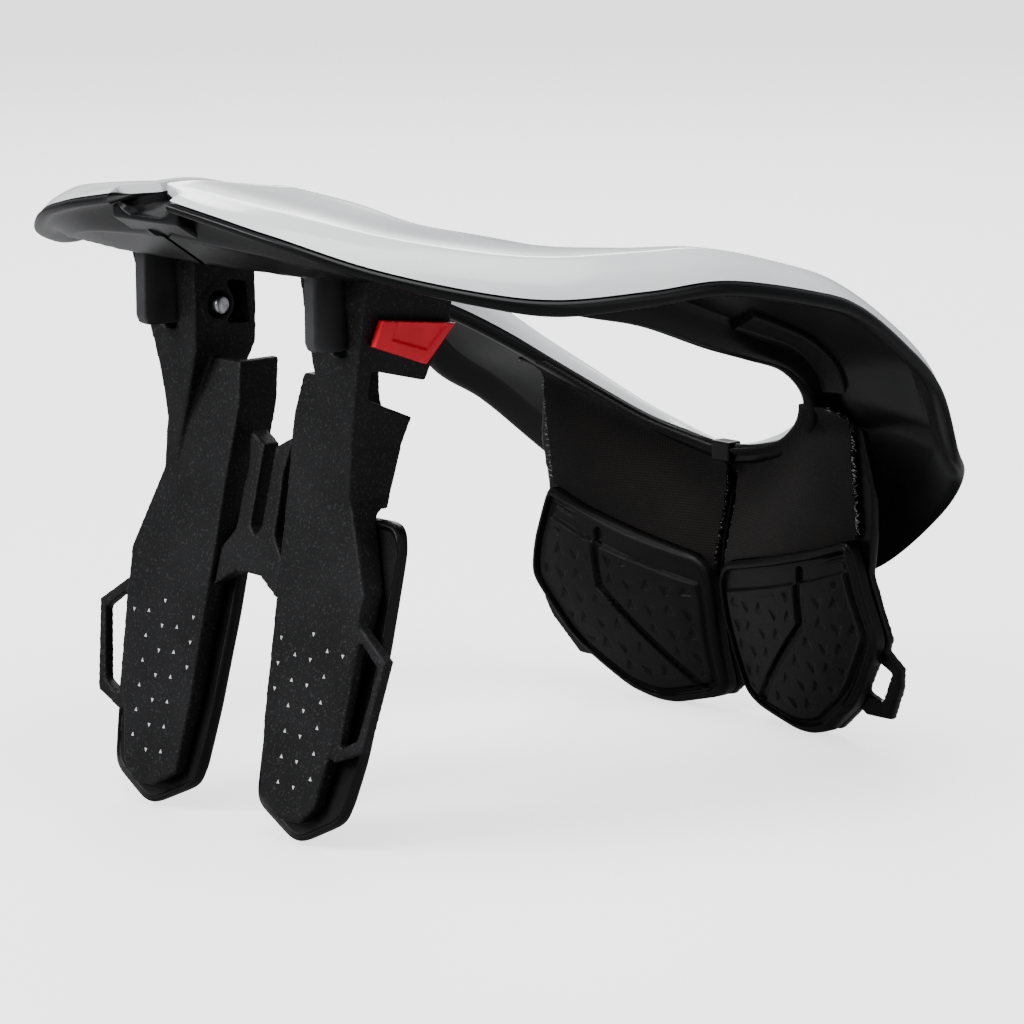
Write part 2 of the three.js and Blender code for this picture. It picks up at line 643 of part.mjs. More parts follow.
// The link joins the inner edges of the two wings, just behind their pads.
function wingLink() {
  const half = neckEdgeX(between(faceRows[4][1], faceRows[5][1], 0.3)) - fit;
  const mirrored = linkOutline.slice(1, -1).map(([a, b]) => [-a, b]).reverse();
  return solid(plate([...linkOutline, ...mirrored], [], (a, b, t) => {
    const z = b * linkTop;
    return new THREE.Vector3(a * half, padY(z) - linkGap - (1 - t) * linkThickness, z);
  }));
}

// The pull tab follows the slope of the wing's outer wall; the pin reaches through to the boss.
function releaseTab() {
  const onWall = (lift, thick) => (a, b, t) => {
    const z = pinZ + b * tabRise;
    return new THREE.Vector3(outerWallX(z) + lift + t * thick, pinY + 8 + a * tabReach, z);
  };
  const slab = solid(plate(tabOutline, [], onWall(fit, tabThickness)));
  const field = tabOutline.map(([a, b]) => [0.12 + a * 0.68, b * 0.62]);
  return slab.subtract(solid(plate(field, [], onWall(fit + tabThickness - tabField, tabThickness))));
}

function releasePin() {
  const tip = neckEdgeX(-0.6);
  return rodAlongX(pinRadius, tip, outerWallX(pinZ) - 0.5, pinY, pinZ, 6);
}

// The rear skin of the chest pads: bowed across, leaning forward towards the foot.
function chestSkin(x, z) {
  const across = clamp(Math.abs(x) / chestBowWidth, 0, 1);
  const top = chestPadTop + (chestPadRise * Math.abs(x)) / chestWidth;
  const below = Math.max(chestPadTop - z, 0);
  const flare = chestLean * below + chestSweep * below * below;
  const padSkin = chestMiddleY - chestBow * (1 - (1 - across) ** 2) + flare;
  const bend = clamp((Math.abs(x) - 10) / chestBowWidth, 0, 1);
  const lipSkin = chestLipY - chestLipBow * bend * bend * (3 - 2 * bend);
  const share = clamp((z - top) / (chestTopAt(x) - top), 0, 1);
  return between(padSkin, lipSkin, share);
}

function chestTopAt(x) {
  return chestTop + chestTopRise * (Math.abs(x) / chestWidth) ** 1.5;
}

const chestCells = [8, 10];
const sheetEnds = [[chestMiddleGap / 3, chestWidth * 1.3], [0, chestTop + chestTopRise * 1.3]];

function alongY(outline, holes) {
  return solid(plate(outline, holes, (x, z, t) =>
    new THREE.Vector3(x, chestMiddleY + (2 * t - 1) * chestWidth, z)));
}

function chestSheet(offset, wall) {
  const surface = (x, z) => chestSkin(x, z) + offset;
  return solid(curvedSheet(sheetEnds[0], sheetEnds[1], chestCells, surface, wall));
}

function topLine(x0, x1, drop) {
  return Array.from({ length: 8 }, (_, i) => {
    const x = between(x0, x1, i / 7);
    return [x, chestTopAt(x) - drop];
  });
}

const onChest = ([a, b]) => [a * chestWidth, b * chestPadTop];

function chestPlate() {
  const lower = chestPadOutline.slice(4).map(onChest).map(([x, z]) => [x, Math.max(z, chestMiddleGap)]);
  const upper = topLine(chestMiddleGap, chestWidth * 1.02, 0);
  const outline = [...upper, [chestWidth * 1.09, chestPadTop * 1.6], ...lower.slice(1)];
  const body = alongY(outline, []).add(alongY(chestLoop.map(onChest), []))
    .subtract(alongY(chestLoopHole.map(onChest), []));
  return chestSheet(chestPadDepth + fit, chestPlateWall).intersect(body);
}

function chestLining() {
  const lower = [[0.98, 1.33], [0.76, 1.23], [0.47, 1.13], [0.1, 1.02]].map(onChest)
    .map(([x, z]) => [x, z + fit]);
  const outline = [...topLine(chestMiddleGap * 1.4, chestWidth, fit), ...lower];
  return chestSheet(chestPadDepth - liningWall, liningWall).intersect(alongY(outline, []));
}

function chestPad() {
  const pad = chestSheet(0, chestPadDepth).intersect(alongY(chestPadOutline.map(onChest), []));
  const groove = [[0.66, 1.08], [0.655, 0.74], [0.2, 0.16]].map(onChest);
  const cut = groove.slice(1).map((end, i) => {
    const [x0, z0] = groove[i];
    const [dx, dz] = [end[0] - x0, end[1] - z0];
    const length = Math.hypot(dx, dz);
    const [nx, nz] = [(-dz / length) * grooveWidth / 2, (dx / length) * grooveWidth / 2];
    return alongY([[x0 + nx, z0 + nz], [end[0] + nx, end[1] + nz], [end[0] - nx, end[1] - nz],
      [x0 - nx, z0 - nz]], []);
  });
  const bed = chestSheet(-1, 1 + grooveDepth);
  return pad.subtract(cut[0].add(cut[1]).intersect(bed));
}

const clasp = { x: 4, y: [frontRimY - 4.2, frontRimY + 1.3], z: [frontRimZ - 4.6, frontRimZ + 1.6] };

function frontClasp(growth) {
  return box([-clasp.x - growth, clasp.x + growth], [clasp.y[0] - growth, clasp.y[1] + growth],
    [clasp.z[0] - growth, clasp.z[1] + growth]);
}

const paint = {
  shell: ['#eef0f2', 0.16, 0],
  chassis: ['#15161a', 0.42, 0],
  grained: ['#1d1d20', 0.62, 0],
  pad: ['#0e0e10', 0.72, 0],
  woven: ['#1a1714', 0.9, 0],
  red: ['#e3262b', 0.38, 0],
  steel: ['#b8bbc0', 0.24, 1],
  tongue: ['#3a3b3f', 0.55, 0],
};

const brace = new THREE.Group();

function addPiece(name, geometry, look, place) {
  const [color, roughness, metalness] = paint[look];
  const mesh = new THREE.Mesh(geometry, new THREE.MeshStandardMaterial({ color, roughness, metalness }));
  mesh.name = name;
  if (place) mesh.position.set(...place);
  brace.add(mesh);
}

const shell = solid(collarLoft(collarPositions, shellSection)).subtract(frontClasp(fit));
const chassis = solid(collarLoft(collarPositions, chassisSection));
const clearOf = (body, shift) => largest(body.subtract(chassis).subtract(chassis.translate(shift)));
const wing = clearOf(wingBody(), [0, 0, -fit]);
const tongue = clearOf(wingTongue().subtract(shell), [0, 0, -fit]);
const chestPlateBody = clearOf(chestPlate(), [0, -fit, -fit]);
const chestLiningBody = clearOf(chestLining(), [0, -fit, -fit]);
const plateBed = saddleUnderplate(fit, saddlePlate + slopeHeight);
const collarForm = solid(collarLoft(collarPositions.slice(0, 2 * steps + 1), (station, frame) =>
  chassisSection(station, frame, 0))).add(chassis);
const saddle = [-fit, fit].reduce((body, shift) => {
  const form = shift < 0 ? collarForm : collarForm.mirror([1, 0, 0]);
  return body.subtract(form).subtract(form.translate([shift, -fit, 0]));
}, saddleBlock());
const saddleBody = screwPlaces.reduce((body, entry) => body.subtract(screwPocket(entry)),
  largest(saddle).add(saddleUnderplate(0)));
const chassisBody = largest(chassis.add(solid(shoulderStrip())).subtract(plateBed)
  .subtract(frontClasp(fit)));

for (const [side, sign] of [['right', 1], ['left', -1]]) {
  const turned = (body) => geometryOf(sign > 0 ? body : body.mirror([1, 0, 0]));
  addPiece(`shell_${side}`, turned(shell), 'shell');
  addPiece(`chassis_${side}`, turned(chassisBody), 'chassis');
  addPiece(`wing_${side}`, turned(wing), 'grained');
  addPiece(`wing_tongue_${side}`, turned(tongue), 'tongue');
  addPiece(`wing_pad_${side}`, turned(wingPad()), 'pad');
  addPiece(`release_tab_${side}`, turned(releaseTab()), 'red');
  addPiece(`release_pin_${side}`, turned(releasePin()), 'steel');
  addPiece(`chest_plate_${side}`, turned(chestPlateBody), 'chassis');
  addPiece(`chest_lining_${side}`, turned(chestLiningBody), 'woven');
  addPiece(`chest_pad_${side}`, turned(chestPad()), 'pad');
}
addPiece('wing_link', geometryOf(wingLink()), 'grained');
addPiece('rear_saddle', geometryOf(saddleBody), 'chassis');
addPiece('front_clasp', geometryOf(frontClasp(0)), 'chassis');
screwPlaces.forEach((entry, i) => {
  const { geometry, place } = saddleScrew(entry);
  addPiece(`saddle_screw_${i + 1}`, geometry, 'steel', place);
});

// The origin lies under the middle of the brace's outer box.
const bounds = new THREE.Box3().setFromObject(brace);
for (const mesh of brace.children) mesh.position.y -= (bounds.min.y + bounds.max.y) / 2;

export default brace;
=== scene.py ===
"""Looks of a motocross neck brace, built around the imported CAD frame.

Lengths are millimetres until a mesh is made, and metres from then on. The brace is symmetric, so
every sided piece is worked out for the wearer's right (+X) and mirrored for the left.
"""
import math

import bpy
import bmesh
import numpy as np
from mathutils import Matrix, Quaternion, Vector


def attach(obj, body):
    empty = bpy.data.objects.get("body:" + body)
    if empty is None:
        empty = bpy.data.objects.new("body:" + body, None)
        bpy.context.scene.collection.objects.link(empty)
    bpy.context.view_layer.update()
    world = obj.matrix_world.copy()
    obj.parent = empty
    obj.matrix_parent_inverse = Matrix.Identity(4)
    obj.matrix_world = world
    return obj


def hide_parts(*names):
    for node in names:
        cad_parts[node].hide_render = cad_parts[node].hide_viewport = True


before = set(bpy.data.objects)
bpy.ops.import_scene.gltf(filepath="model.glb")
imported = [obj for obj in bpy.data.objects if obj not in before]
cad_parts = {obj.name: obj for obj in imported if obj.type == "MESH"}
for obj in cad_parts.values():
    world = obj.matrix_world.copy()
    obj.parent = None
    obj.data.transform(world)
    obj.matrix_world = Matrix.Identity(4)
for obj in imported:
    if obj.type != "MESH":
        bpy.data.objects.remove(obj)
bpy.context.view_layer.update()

# Sizes that the CAD model has too.
MIDDLE_Y = 23.0  # the frame's origin is the middle of the footprint
HALF_WIDTH, REAR_REACH = 130.0, 150.0
NECK_HALF_WIDTH, NECK_REACH = 78.0, 88.0
COLLAR_HEIGHT, CROWN = 190.0, 12.0
SHELL_WALL, CHASSIS_WALL = 2.6, 3.0
RIM_DEPTH, LIP_DEPTH, RIM_THICKNESS = 5.0, 12.0, 4.2
BAND_INSET, CREST_INSET, CREASE_START = 9.0, 4.0, 0.35
NOTCH_WIDTH = 28.0
SEAM, FIT = 1.2, 0.3
SEAT_Z, SLOPE_FOOT_Y, SLOPE_HEIGHT = 168.0, -124.0, 16.0
STRIP_START, STRIP_END, STRIP_INSET, STRIP_WIDTH, STRIP_RISE = 7.4, 10.6, 6.0, 11.0, 2.2
WING_MIDDLE, WING_HALF_WIDTH = 34.5, 20.0
WING_FOOT_Y, WING_LEAN = -128.0, 0.193
PAD_FOOT_Y, PAD_LEAN, WING_PAD_HEIGHT, WING_PAD_THICKNESS = -124.0, 0.25, 95.0, 4.0
CHEST_WIDTH, CHEST_PAD_TOP, CHEST_PAD_RISE = 70.0, 52.0, 17.0
CHEST_MIDDLE_Y, CHEST_BOW, CHEST_BOW_WIDTH = 78.5, 9.0, 60.0
CHEST_LEAN, CHEST_SWEEP = 0.1, 0.004
CHEST_LIP_Y, CHEST_LIP_BOW = 86.0, 21.0
CHEST_TOP, CHEST_TOP_RISE = 83.5, 26.5
CHEST_PAD_DEPTH, LINING_WALL = 6.0, 3.0

# Sizes of the visual model alone.
UNDER_GAP = FIT + 0.2  # between the chassis's edges and the shell's
CHEST_PAD_EDGE, CHEST_PAD_BACK_EDGE = 2.2, 1.0
BAND_DEPTH, PANEL_DEPTH, GROOVE_DEPTH, POCKET_DEPTH = 1.7, 0.35, 2.0, 0.75
PANEL_CROWN, RIB_DEPTH, TOP_BAND = 0.6, 0.4, 4.6
POCKET_PITCH, POCKET_SIZE = 7.4, 1.35
LINING_SHOWN, LINING_PUFF, LINING_PROUD = 1.6, 0.35, 0.9
LINING_LAP, LINING_DROP = 3.7, 0.9  # over the chassis's inner lip, and below the shell's rim
THREAD_RADIUS = 0.13
MARK_PITCH_X, MARK_PITCH_Z, MARK_FOOT, MARK_HEAD = 7.0, 7.4, 16.0, 62.0
PIN_SIDES = 36
CAMERA_PLACE, CAMERA_TARGET, CAMERA_ROLL = (1.2726, -1.1298, 0.3965), (0, 0.016, 0.0792), -0.43

# Sections of the collar's right half, from the rear notch to the front joint: outer rim x, y, z,
# inner rim x, y, z, heights of crease, middle and crest, rim, lip, and how far it is closed below.
COLLAR_ROWS = np.array([
    [0.0, -1.0, 1.0, 0.0, -1.02, 0.953, 0.38, 0.5, 0.5, 0.55, 1.0, 1],
    [0.36, -0.96, 0.966, 0.31, -0.99, 0.932, 0.5, 0.58, 0.62, 0.55, 1.0, 1],
    [0.585, -0.86, 0.92, 0.525, -0.9, 0.9, 0.7, 0.75, 0.7, 0.65, 0.92, 0.8],
    [0.755, -0.72, 0.885, 0.69, -0.76, 0.88, 0.83, 0.88, 0.75, 0.75, 0.83, 0.25],
    [0.86, -0.595, 0.87, 0.81, -0.61, 0.86, 0.92, 0.96, 0.75, 0.9, 0.75, 0],
    [0.94, -0.425, 0.875, 0.9, -0.455, 0.837, 0.92, 1.0, 0.75, 0.8, 0.67, 0],
    [0.98, -0.255, 0.88, 0.96, -0.27, 0.805, 0.88, 1.0, 0.75, 0.8, 0.5, 0],
    [1.0, -0.035, 0.847, 1.0, -0.02, 0.755, 0.83, 0.92, 0.7, 0.8, 0.42, 0],
    [1.0, 0.085, 0.815, 1.0, 0.18, 0.724, 0.8, 0.88, 0.7, 0.8, 0.38, 0],
    [0.985, 0.22, 0.747, 0.96, 0.385, 0.695, 0.8, 0.83, 0.7, 0.8, 0.38, 0],
    [0.958, 0.345, 0.668, 0.87, 0.57, 0.647, 0.8, 0.83, 0.67, 0.8, 0.38, 0],
    [0.915, 0.435, 0.56, 0.745, 0.715, 0.595, 0.75, 0.8, 0.62, 0.8, 0.33, 0],
    [0.84, 0.52, 0.505, 0.59, 0.83, 0.547, 0.67, 0.75, 0.54, 0.8, 0.33, 0],
    [0.7, 0.58, 0.426, 0.4, 0.915, 0.505, 0.62, 0.67, 0.46, 0.8, 0.33, 0],
    [0.46, 0.64, 0.316, 0.205, 0.965, 0.482, 0.54, 0.62, 0.38, 0.8, 0.33, 0],
    [0.23, 0.675, 0.258, 0.09, 0.977, 0.473, 0.5, 0.58, 0.33, 0.8, 0.33, 0],
    [0.0, 0.687, 0.237, 0.0, 0.98, 0.468, 0.5, 0.58, 0.33, 0.8, 0.33, 0],
])

# Outlines in the plane that their piece lies in, as shares of its sizes.
WING_PAD_OUTLINE = [[0, 0], [0.92, 0.093], [1.1, 0.28], [1.18, 0.62], [1.14, 0.95], [1.0, 1.0],
                    [-0.95, 1.0], [-1.15, 0.93], [-1.19, 0.62], [-1.14, 0.33], [-1.02, 0.095]]
CHEST_PAD_OUTLINE = [[0.03, 0.92], [0.1, 1.02], [0.47, 1.13], [0.76, 1.23], [0.98, 1.33],
                     [1.04, 1.12], [1.1, 0.89], [1.13, 0.73], [0.96, 0.38], [0.87, 0.26],
                     [0.64, 0.05], [0.5, 0.0], [0.4, 0.0], [0.13, 0.09], [0.06, 0.16],
                     [0.045, 0.42], [0.025, 0.7]]
CHEST_GROOVE = [[0.66, 1.08], [0.655, 0.74], [0.2, 0.16]]

# Points in millimetres, across and up, that the pads' spokes start from.
CHEST_PAD_CENTRE, WING_PAD_CENTRE = np.array([38.0, 34.0]), np.array([WING_MIDDLE, 48.0])

# The lining's lower edge: share of its width, x, z.
LINING_FOOT = np.array([[0, 2.4, 48.3], [0.1, 7, 53.3], [0.5, 33, 59.3], [0.8, 53.2, 64.3], [1, 69, 69.4]])
LINING_INNER_X = 2.4

# The wing's half width where it has marks: z, share of WING_HALF_WIDTH.
WING_REACH = np.array([[8, 0], [12.6, 0.5], [35, 0.75], [61, 0.92], [75, 0.97]])


class Value:
    """A shader socket with Python's operators: each operator adds one Math node."""

    def __init__(self, finish, socket):
        self.finish, self.socket = finish, socket

    def _math(self, operation, *values):
        return self.finish.node("Math", {"operation": operation}, *values)

    def __add__(self, other):
        return self._math("ADD", self, other)

    def __sub__(self, other):
        return self._math("SUBTRACT", self, other)

    def __rsub__(self, other):
        return self._math("SUBTRACT", other, self)

    def __mul__(self, other):
        return self._math("MULTIPLY", self, other)

    __radd__, __rmul__ = __add__, __mul__

    def highest(self, other):
        return self._math("MAXIMUM", self, other)

    def wave(self):
        return self._math("SINE", self)

    def size(self):
        return self._math("ABSOLUTE", self)

    def steps(self, low, high):
        """A smooth step from 0 at low to 1 at high."""
        return self.finish.node("MapRange", {"interpolation_type": "SMOOTHSTEP"}, self, low, high)


class Finish:
    """One material: uniform values go straight onto the shader, the rest through node()."""

    def __init__(self, name, **uniform):
        self.material = bpy.data.materials.new(name)
        self.material.use_nodes = True
        self.tree = self.material.node_tree
        self.shader = self.tree.nodes["Principled BSDF"]
        for socket, value in uniform.items():
            self.shader.inputs[socket.replace("_", " ")].default_value = value

    def node(self, kind, settings=None, *values, output=0, **named):
        """Adds a node: settings first, then the values or links of its sockets, in order or by name."""
        made = self.tree.nodes.new("ShaderNode" + kind)
        for key, value in (settings or {}).items():
            setattr(made, key, value)
        for key, value in list(enumerate(values)) + [(k.replace("_", " "), v) for k, v in named.items()]:
            self.feed(made.inputs[key], value)
        return Value(self, made.outputs[output])

    def feed(self, socket, value):
        """Links a value to a socket, or sets it when it is a plain number or colour."""
        if isinstance(value, Value):
            self.tree.links.new(value.socket, socket)
        elif value is not None:
            socket.default_value = value

    def place(self, stretch=(1, 1, 1)):
        """The point on the piece, stretched by a factor for each axis."""
        point = self.node("TexCoord", output=3)
        return self.node("Mapping", None, point, Scale=stretch)

    def noise(self, scale, detail=3.0, stretch=(1, 1, 1)):
        return self.node("TexNoise", None, Vector=self.place(stretch), Scale=scale, Detail=detail)

    def cells(self, scale):
        return self.node("TexVoronoi", None, Vector=self.place(), Scale=scale)

    def blend(self, share, first, second):
        """Mixes two colours by a share."""
        made = self.tree.nodes.new("ShaderNodeMix")
        made.data_type = "RGBA"
        for index, value in ((0, share), (6, first), (7, second)):
            self.feed(made.inputs[index], value)
        return Value(self, made.outputs[2])

    def colour(self, value):
        self.feed(self.shader.inputs["Base Color"], value)

    def roughness(self, value):
        self.feed(self.shader.inputs["Roughness"], value)

    def relief(self, height, distance, strength=1.0):
        bump = self.node("Bump", None, Strength=strength, Distance=distance, Height=height)
        self.feed(self.shader.inputs["Normal"], bump)


def tint(red, green, blue):
    return (red, green, blue, 1.0)


def white_shell():
    """Gloss white moulding with a faint orange peel, and a little dust."""
    finish = Finish("white_shell", Coat_Weight=0.35, Coat_Roughness=0.06, Specular_IOR_Level=0.5)
    cloud = finish.noise(22.0, 4.0)
    dust = finish.noise(900.0, 2.0).steps(0.68, 0.8)
    base = finish.blend(cloud.steps(0.35, 0.7), tint(0.80, 0.815, 0.83), tint(0.84, 0.85, 0.86))
    finish.colour(finish.blend(dust * 0.35, base, tint(0.6, 0.6, 0.6)))
    finish.roughness(cloud * 0.1 + 0.17 + dust * 0.15)
    finish.relief(finish.noise(240.0, 2.0), 0.00006, 0.35)
    return finish.material


def gloss_chassis():
    """Black moulding with a soft gloss, hairline scuffs and flow marks."""
    finish = Finish("gloss_chassis", Specular_IOR_Level=0.18, Coat_Weight=0.05, Coat_Roughness=0.15)
    cloud = finish.noise(30.0, 5.0)
    scuff = finish.noise(160.0, 6.0, (1, 1, 9)).steps(0.62, 0.78)
    base = finish.blend(cloud.steps(0.3, 0.75), tint(0.0016, 0.0016, 0.0019), tint(0.0034, 0.0034, 0.0038))
    finish.colour(finish.blend(scuff * 0.5, base, tint(0.011, 0.011, 0.012)))
    finish.roughness(cloud * 0.16 + 0.23 + scuff * 0.12)
    finish.relief(finish.noise(420.0, 3.0) + scuff * 0.4, 0.00008, 0.4)
    return finish.material


def grained_wing():
    """Fine spark-eroded grain, greyer on the worn edges, with small light specks."""
    finish = Finish("grained_wing", Specular_IOR_Level=0.16)
    grain = finish.cells(1300.0)
    fine = finish.noise(1250.0, 3.0)
    cloud = finish.noise(45.0, 5.0)
    edge = finish.node("NewGeometry", output=7).steps(0.52, 0.6)
    base = finish.blend(cloud.steps(0.3, 0.72), tint(0.0032, 0.0032, 0.0036), tint(0.0085, 0.0085, 0.0092))
    worn = finish.blend(edge * 0.5, base, tint(0.03, 0.03, 0.032))
    speck = fine.steps(0.56, 0.68)
    finish.colour(finish.blend(speck * 0.5, worn, tint(0.045, 0.045, 0.047)))
    finish.roughness(0.47 + cloud * 0.12 - edge * 0.1)
    finish.relief(grain * 0.7 + fine * 0.5, 0.00018, 0.55)
    return finish.material


def moulded_rubber():
    """Matt black foam rubber skin with fine pores and rubbed high places."""
    finish = Finish("moulded_rubber", Specular_IOR_Level=0.2)
    pores = finish.cells(2100.0)
    cloud = finish.noise(60.0, 4.0)
    finish.colour(finish.blend(cloud.steps(0.35, 0.7), tint(0.0018, 0.0017, 0.002),
                               tint(0.0038, 0.0036, 0.0042)))
    finish.roughness(0.36 + cloud * 0.16)
    finish.relief(pores + cloud * 0.5, 0.0001, 0.4)
    return finish.material


def woven_lining():
    """Plain weave on the piece's own UV map: ribs across and along, in uneven dark threads."""
    finish = Finish("woven_lining", Specular_IOR_Level=0.12, Sheen_Weight=0.04, Sheen_Roughness=0.5)
    uv = finish.node("TexCoord", output=2)
    split = finish.tree.nodes.new("ShaderNodeSeparateXYZ")
    finish.feed(split.inputs[0], uv)
    across, up = Value(finish, split.outputs[0]), Value(finish, split.outputs[1])
    pitch = 0.00085
    warp = (across * (math.pi / pitch)).wave()
    weft = (up * (math.pi / pitch)).wave()
    over = (warp * weft).steps(-0.3, 0.3)
    thread = (warp.size() * over).highest(weft.size() * (1 - over))
    cloud = finish.noise(70.0, 5.0)
    lint = finish.noise(1300.0, 3.0).steps(0.68, 0.76)
    base = finish.blend(thread, tint(0.0012, 0.001, 0.001), tint(0.0135, 0.0115, 0.0105))
    shade = finish.blend(cloud.steps(0.35, 0.75) * 0.6, base, tint(0.0042, 0.0038, 0.0036))
    finish.colour(finish.blend(lint * 0.3, shade, tint(0.07, 0.066, 0.06)))
    finish.roughness(0.86 + thread * -0.08)
    finish.relief(thread + cloud * 0.4, 0.00016, 0.8)
    return finish.material


def loose_thread():
    """Pale and dark loose yarn."""
    finish = Finish("loose_thread", Specular_IOR_Level=0.2)
    cloud = finish.noise(900.0, 2.0)
    finish.colour(finish.blend(cloud.steps(0.35, 0.65), tint(0.05, 0.05, 0.05), tint(0.42, 0.42, 0.41)))
    finish.roughness(0.8 + cloud * 0.1)
    finish.relief(cloud, 0.00005, 0.5)
    return finish.material


def red_tab():
    """Bright red moulding, a little uneven in its gloss."""
    finish = Finish("red_tab", Specular_IOR_Level=0.25)
    cloud = finish.noise(120.0, 4.0)
    finish.colour(finish.blend(cloud.steps(0.3, 0.75), tint(0.84, 0.006, 0.024), tint(0.92, 0.01, 0.034)))
    finish.roughness(0.3 + cloud * 0.16)
    finish.relief(finish.noise(1500.0, 2.0), 0.00006, 0.4)
    return finish.material


def turned_steel():
    """Bare steel, brushed along the pin."""
    finish = Finish("turned_steel", Metallic=1.0)
    brushed = finish.noise(500.0, 3.0, (6, 1, 1))
    finish.colour(finish.blend(brushed.steps(0.3, 0.7), tint(0.35, 0.355, 0.365), tint(0.6, 0.6, 0.61)))
    finish.roughness(0.2 + brushed * 0.22)
    finish.relief(brushed, 0.00004, 0.4)
    return finish.material


def satin_tongue():
    """Satin dark grey moulding with a fine grain."""
    finish = Finish("satin_tongue", Specular_IOR_Level=0.5)
    cloud = finish.noise(90.0, 4.0)
    finish.colour(finish.blend(cloud.steps(0.3, 0.7), tint(0.02, 0.02, 0.0215), tint(0.032, 0.032, 0.034)))
    finish.roughness(0.34 + cloud * 0.14)
    finish.relief(finish.noise(1100.0, 2.0), 0.00008, 0.45)
    return finish.material


def pale_print():
    """Pale print, worn thin in places."""
    finish = Finish("pale_print", Specular_IOR_Level=0.4)
    worn = finish.noise(700.0, 3.0)
    finish.colour(finish.blend(worn.steps(0.4, 0.75), tint(0.72, 0.72, 0.72), tint(0.45, 0.45, 0.45)))
    finish.roughness(0.5 + worn * 0.1)
    return finish.material


PAINT = {
    "shell": white_shell(), "chassis": gloss_chassis(), "grained": grained_wing(),
    "pad": moulded_rubber(), "woven": woven_lining(), "red": red_tab(), "steel": turned_steel(),
    "tongue": satin_tongue(), "thread": loose_thread(), "print": pale_print(),
}
SIDES = {"right": 1.0, "left": -1.0}


def dress(piece, look, body="brace", stands_for=()):
    """Gives a finished piece its material, body and the CAD nodes that it replaces."""
    piece.data.materials.clear()
    piece.data.materials.append(PAINT[look])
    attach(piece, body)
    if stands_for:
        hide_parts(*stands_for)
    return piece


def mesh_piece(name, points, faces, side=1.0, sharp=40.0, uv=None):
    """A closed mesh from points (n, 3) in millimetres and faces (m, 4); a left piece is mirrored."""
    scaled = (np.asarray(points, float) + [0, MIDDLE_Y, 0]) * [0.001 * side, 0.001, 0.001]
    mesh = bpy.data.meshes.new(name)
    mesh.from_pydata(scaled.tolist(), [], [list(f) for f in faces])
    if uv is not None:
        layer = mesh.uv_layers.new(name="UVMap")
        corner = np.zeros(len(mesh.loops), int)
        mesh.loops.foreach_get("vertex_index", corner)
        layer.data.foreach_set("uv", (np.asarray(uv) * 0.001)[corner].ravel())
    tidy_mesh(mesh, sharp)
    piece = bpy.data.objects.new(name, mesh)
    bpy.context.scene.collection.objects.link(piece)
    return piece


def tidy_mesh(mesh, sharp):
    """Closes seams and poles, turns the faces outwards and shades them smooth up to an angle."""
    work = bmesh.new()
    work.from_mesh(mesh)
    bmesh.ops.remove_doubles(work, verts=work.verts, dist=1e-7)
    bmesh.ops.dissolve_degenerate(work, edges=work.edges, dist=1e-8)
    bmesh.ops.recalc_face_normals(work, faces=work.faces)
    if work.calc_volume(signed=True) < 0:
        bmesh.ops.reverse_faces(work, faces=work.faces)
    work.to_mesh(mesh)
    work.free()
    mesh.polygons.foreach_set("use_smooth", np.ones(len(mesh.polygons), bool))
    mesh.set_sharp_from_angle(angle=math.radians(sharp))


def grid_faces(rows, columns, start=0, ring=False, back=False):
    """Quads over a grid of rows by columns, closed around when ring is set."""
    i, j = np.meshgrid(np.arange(rows - 1), np.arange(columns if ring else columns - 1), indexing="ij")
    right = (j + 1) % columns
    quads = np.stack([i * columns + j, (i + 1) * columns + j, (i + 1) * columns + right,
                      i * columns + right], -1).reshape(-1, 4) + start
    return quads[:, ::-1] if back else quads


def border(rows, columns, ring=False):
    """The indices around a grid's edge, in order; on a ring, its last row."""
    index = np.arange(rows * columns).reshape(rows, columns)
    if ring:
        return index[-1]
    return np.concatenate([index[0, :-1], index[:-1, -1], index[-1, :0:-1], index[:0:-1, 0]])


def walled(name, front, back, ring=False, **made):
    """A closed wall between two grids of points (rows, columns, 3), joined around their edges."""
    count = front.shape[0] * front.shape[1]
    edge, far = (border(*grid.shape[:2], ring) for grid in (front, back))
    far = far + count
    sides = np.stack([edge, np.roll(edge, -1), np.roll(far, -1), far], -1)
    faces = np.concatenate([grid_faces(*front.shape[:2], 0, ring),
                            grid_faces(*back.shape[:2], count, ring, True), sides])
    points = np.concatenate([front.reshape(-1, 3), back.reshape(-1, 3)])
    return mesh_piece(name, points, faces, **made)


def mix(first, second, share):
    return first + (second - first) * share


def through(points, position, axis=0):
    """A Catmull-Rom curve through points along an axis, read at whole or part steps."""
    points = np.moveaxis(np.asarray(points, float), axis, 0)
    last = len(points) - 1
    index = np.clip(np.floor(position).astype(int), 0, last - 1)
    t = (position - index).reshape((-1,) + (1,) * (points.ndim - 1))
    p, q, r, s = (points[np.clip(index + k, 0, last)] for k in (-1, 0, 1, 2))
    curve = 0.5 * (2 * q + (r - p) * t + (2 * p - 5 * q + 4 * r - s) * t ** 2
                   + (3 * q - p - 3 * r + s) * t ** 3)
    return np.moveaxis(curve, 0, axis)


def even(line, count):
    """Open lines (n, k, 2) read again at count points, evenly along each line."""
    step = np.linalg.norm(np.diff(line, axis=1), axis=2)
    length = np.concatenate([np.zeros((len(line), 1)), np.cumsum(step, 1)], 1)
    want = np.linspace(0, 1, count)
    return np.stack([np.stack([np.interp(want * d[-1], d, l[:, 0]), np.interp(want * d[-1], d, l[:, 1])], -1)
                     for d, l in zip(length, line)])


def inset(line, distance):
    """Open lines (n, k, 2) moved to their inner side."""
    along = np.gradient(line, axis=1)
    along /= np.linalg.norm(along, axis=2, keepdims=True) + 1e-9
    return line + distance * np.stack([-along[..., 1], along[..., 0]], -1)


